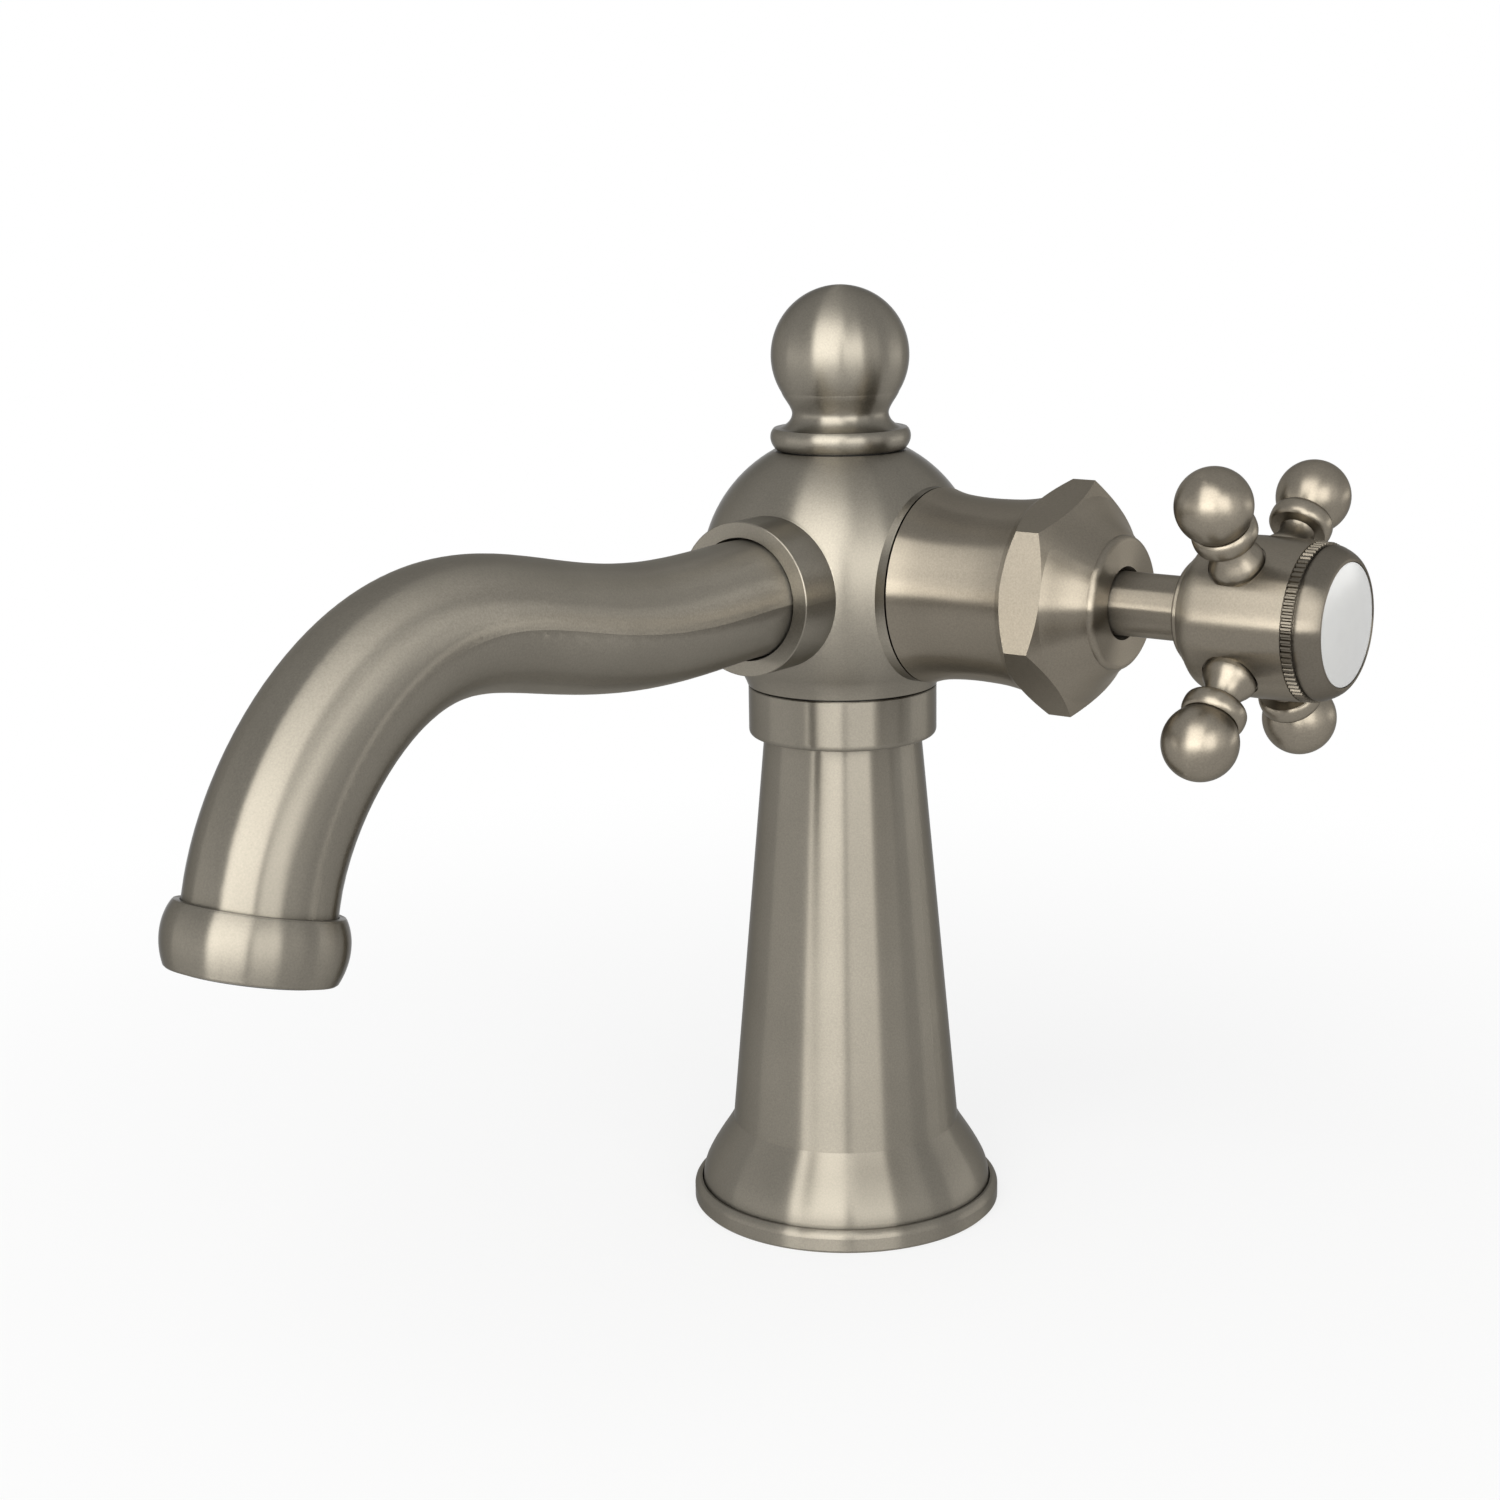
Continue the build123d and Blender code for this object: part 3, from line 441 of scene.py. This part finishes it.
class FAUCET_OT_handle(bpy.types.Operator):
    """Finish the shaft, the hub, the cap and the turned arms"""
    bl_idname = "faucet.handle"
    bl_label = "Handle"

    def execute(self, context):
        finish = context.scene.faucet_finish
        lines = round_axis(X_AXIS, NECK_CENTRE)
        dress(brushed_nickel("Brushed nickel, handle", finish.handle_nickel, lines, finish),
              "handle_shaft", "hub_step_ring", "handle_hub")
        # The cap takes the darker nickel, painted shade against the fill lamp's light on it.
        dress(brushed_nickel("Brushed nickel, cap, painted shade", finish.cap_nickel_painted_shade, lines, finish), "index_cap")
        for number in (1, 2, 3, 4):
            name = "handle_arm_%d" % number
            middle = middle_of(name)
            foot = Vector((middle.x, 0, AXIS_Z))
            lines = round_axis(tuple((middle - foot).normalized()), tuple(foot))
            dress(brushed_nickel("Brushed nickel, arm %d" % number, finish.handle_nickel, lines,
                                 finish, drawn=0.5), name)
        return {"FINISHED"}


class FAUCET_OT_index_disc(bpy.types.Operator):
    """Glaze the index disc"""
    bl_idname = "faucet.index_disc"
    bl_label = "Index Disc"

    def execute(self, context):
        finish = context.scene.faucet_finish
        dress(glazed_porcelain("Glazed porcelain", finish.porcelain), "index_disc")
        return {"FINISHED"}


class FAUCET_OT_inside(bpy.types.Operator):
    """Finish the pieces inside: brass, copper, steel, rubber, plastic and valve ceramic"""
    bl_idname = "faucet.inside"
    bl_label = "Inner Pieces"

    def execute(self, context):
        finish = context.scene.faucet_finish
        dress(machined_metal("Machined brass", finish.brass, roughness=0.3),
              "inlet_block", "spout_nipple", "cartridge_nut", "cartridge_stem",
              "cartridge_housing")
        dress(machined_metal("Drawn copper", finish.copper, roughness=0.35),
              "hot_riser", "cold_riser")
        dress(machined_metal("Stainless steel", linear("#BFBFBD"), roughness=0.3),
              "foot_screw_left", "foot_screw_right", "finial_stud", "handle_screw", "stem_pin",
              "aerator_screen")
        dress(moulded("Moulded rubber", finish.rubber, roughness=0.7, ior=1.5, grain=0.3 * MM),
              *[node for node in NODES if "seal" in node or "gasket" in node],
              "aerator_washer", "ball_seat_washer", "finial_washer", "bonnet_washer",
              "disc_cushion")
        dress(moulded("Moulded grey plastic", linear("#4A4B4C"), roughness=0.45, ior=1.46,
                      grain=0.4 * MM),
              "aerator_insert", "flow_disc", "cartridge_base", "disc_driver")
        dress(moulded("White acetal", linear("#E8E8E4"), roughness=0.35, ior=1.48,
                      grain=0.5 * MM),
              "shaft_bush", "thrust_washer", "spout_washer")
        dress(moulded("Lapped alumina", linear("#EDE8DA"), roughness=0.2, ior=1.76,
                      grain=0.2 * MM),
              "fixed_disc", "moving_disc")
        return {"FINISHED"}


def backdrop_paper(name, stage):
    """Matt white paper.

    Camera, glossy and transmission rays see it at an even white, which gives way
    towards the faucet to lit paper that takes its shadow.
    """
    material, tree = new_material(name)
    rays = add_node(tree, "ShaderNodeLightPath").outputs
    seen = maths(tree, "MAXIMUM", rays["Is Camera Ray"], rays["Is Glossy Ray"])
    seen = maths(tree, "MAXIMUM", seen, rays["Is Transmission Ray"])
    place = add_node(tree, "ShaderNodeTexCoord").outputs["Object"]
    distance = vector_math(tree, "LENGTH", place).outputs["Value"]
    even = add_node(tree, "ShaderNodeMapRange",
                    {"Value": distance, "From Min": stage.shadow_from,
                     "From Max": stage.shadow_to, "To Min": stage.shadow_share, "To Max": 1.0},
                    interpolation_type="SMOOTHSTEP").outputs[0]
    share = maths(tree, "MULTIPLY", seen, even)
    paper = add_node(tree, "ShaderNodeBsdfDiffuse", {"Color": (*stage.paper, 1.0)}).outputs[0]
    white = add_node(tree, "ShaderNodeEmission", {"Color": (1, 1, 1, 1), "Strength": 1.0})
    both = add_node(tree, "ShaderNodeMixShader", {0: share, 1: paper, 2: white.outputs[0]})
    finish_material(tree, both.outputs[0])
    return material


def stage_piece(name, build, material):
    """A mesh that belongs to the stage, built by a function that fills a bmesh."""
    mesh = bpy.data.meshes.new(name)
    shape = bmesh.new()
    build(shape)
    shape.to_mesh(mesh)
    shape.free()
    piece = bpy.data.objects.new(name, mesh)
    bpy.context.scene.collection.objects.link(piece)
    mesh.materials.append(material)
    for face in mesh.polygons:
        face.use_smooth = True


def softbox(name, azimuth, elevation, width, height, setting, stage):
    """A rectangular lamp that faces the faucet. Azimuth 0 stands on the -Y side."""
    lamp = bpy.data.lights.new(name, "AREA")
    lamp.shape = "RECTANGLE"
    lamp.size, lamp.size_y = width, height
    lamp.energy = getattr(stage, setting) * pi * width * height
    lamp.color = stage.lamp_colour
    piece = bpy.data.objects.new(name, lamp)
    piece.matrix_world = (Matrix.Translation(LAMP_AIM)
                          @ Matrix.Rotation(radians(azimuth), 4, "Z")
                          @ Matrix.Rotation(radians(90 - elevation), 4, "X")
                          @ Matrix.Translation((0, 0, stage.lamp_distance)))
    bpy.context.scene.collection.objects.link(piece)


class FAUCET_OT_stage(bpy.types.Operator):
    """Make the floor, the wall round it, the room's light and the softboxes"""
    bl_idname = "faucet.stage"
    bl_label = "Stage"

    def execute(self, context):
        stage = context.scene.faucet_stage
        radius = stage.floor_radius
        paper = backdrop_paper("Backdrop paper", stage)

        def disc(shape):
            bmesh.ops.create_circle(shape, cap_ends=True, segments=ROUND_SIDES, radius=radius)

        def band(shape):
            bmesh.ops.create_cone(shape, cap_ends=False, segments=ROUND_SIDES, radius1=radius,
                                  radius2=radius, depth=stage.wall_height,
                                  matrix=Matrix.Translation((0, 0, stage.wall_height / 2)))

        stage_piece("floor", disc, paper)
        stage_piece("wall", band, paper)

        world = bpy.data.worlds.new("Room")
        context.scene.world = world
        world.use_nodes = True
        tree = world.node_tree
        tree.nodes.clear()
        sky = add_node(tree, "ShaderNodeBackground",
                       {"Color": (*stage.ceiling, 1.0), "Strength": 1.0})
        add_node(tree, "ShaderNodeOutputWorld", {"Surface": sky.outputs[0]})

        for name, values in LAMPS.items():
            softbox(name, *values, stage)

        context.scene.view_settings.view_transform = "Standard"
        return {"FINISHED"}


class FAUCET_OT_camera(bpy.types.Operator):
    """Set the camera of the photograph"""
    bl_idname = "faucet.camera"
    bl_label = "Camera"

    def execute(self, context):
        view = context.scene.faucet_view
        lens = bpy.data.cameras.new("camera")
        lens.lens = view.focal_length
        lens.sensor_width = SENSOR_SIDE
        lens.clip_start = NEAREST
        camera = bpy.data.objects.new("camera", lens)
        context.scene.collection.objects.link(camera)
        camera.matrix_world = (Matrix.Translation(view.place)
                               @ Matrix.Rotation(view.azimuth, 4, "Z")
                               @ Matrix.Rotation(pi / 2 - view.elevation, 4, "X")
                               @ Matrix.Rotation(view.roll, 4, "Z"))
        context.scene.camera = camera
        return {"FINISHED"}


OPERATORS = (FAUCET_OT_upright, FAUCET_OT_ball, FAUCET_OT_spout, FAUCET_OT_neck,
             FAUCET_OT_handle, FAUCET_OT_index_disc, FAUCET_OT_inside, FAUCET_OT_stage,
             FAUCET_OT_camera)


class FAUCET_PT_panel(bpy.types.Panel):
    """Lists the faucet's pieces and settings"""
    bl_idname = "FAUCET_PT_panel"
    bl_label = "Basin Faucet"
    bl_space_type = "VIEW_3D"
    bl_region_type = "UI"
    bl_category = "Faucet"

    def draw(self, context):
        for operator in OPERATORS:
            self.layout.operator(operator.bl_idname)
        for group in (context.scene.faucet_finish, context.scene.faucet_stage,
                      context.scene.faucet_view):
            box = self.layout.box()
            for name in group.__annotations__:
                box.prop(group, name)


GROUPS = {"faucet_finish": FaucetFinish, "faucet_stage": FaucetStage, "faucet_view": FaucetView}


def register():
    for name, group in GROUPS.items():
        bpy.utils.register_class(group)
        setattr(bpy.types.Scene, name, PointerProperty(type=group))
    for operator in OPERATORS:
        bpy.utils.register_class(operator)
    bpy.utils.register_class(FAUCET_PT_panel)


def unregister():
    bpy.utils.unregister_class(FAUCET_PT_panel)
    for operator in reversed(OPERATORS):
        bpy.utils.unregister_class(operator)
    for name, group in GROUPS.items():
        delattr(bpy.types.Scene, name)
        bpy.utils.unregister_class(group)


def main():
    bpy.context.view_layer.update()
    register()
    bpy.ops.faucet.upright()
    bpy.ops.faucet.ball()
    bpy.ops.faucet.spout()
    bpy.ops.faucet.neck()
    bpy.ops.faucet.handle()
    bpy.ops.faucet.index_disc()
    bpy.ops.faucet.inside()
    bpy.ops.faucet.stage()
    bpy.ops.faucet.camera()


if __name__ == "__main__":
    main()
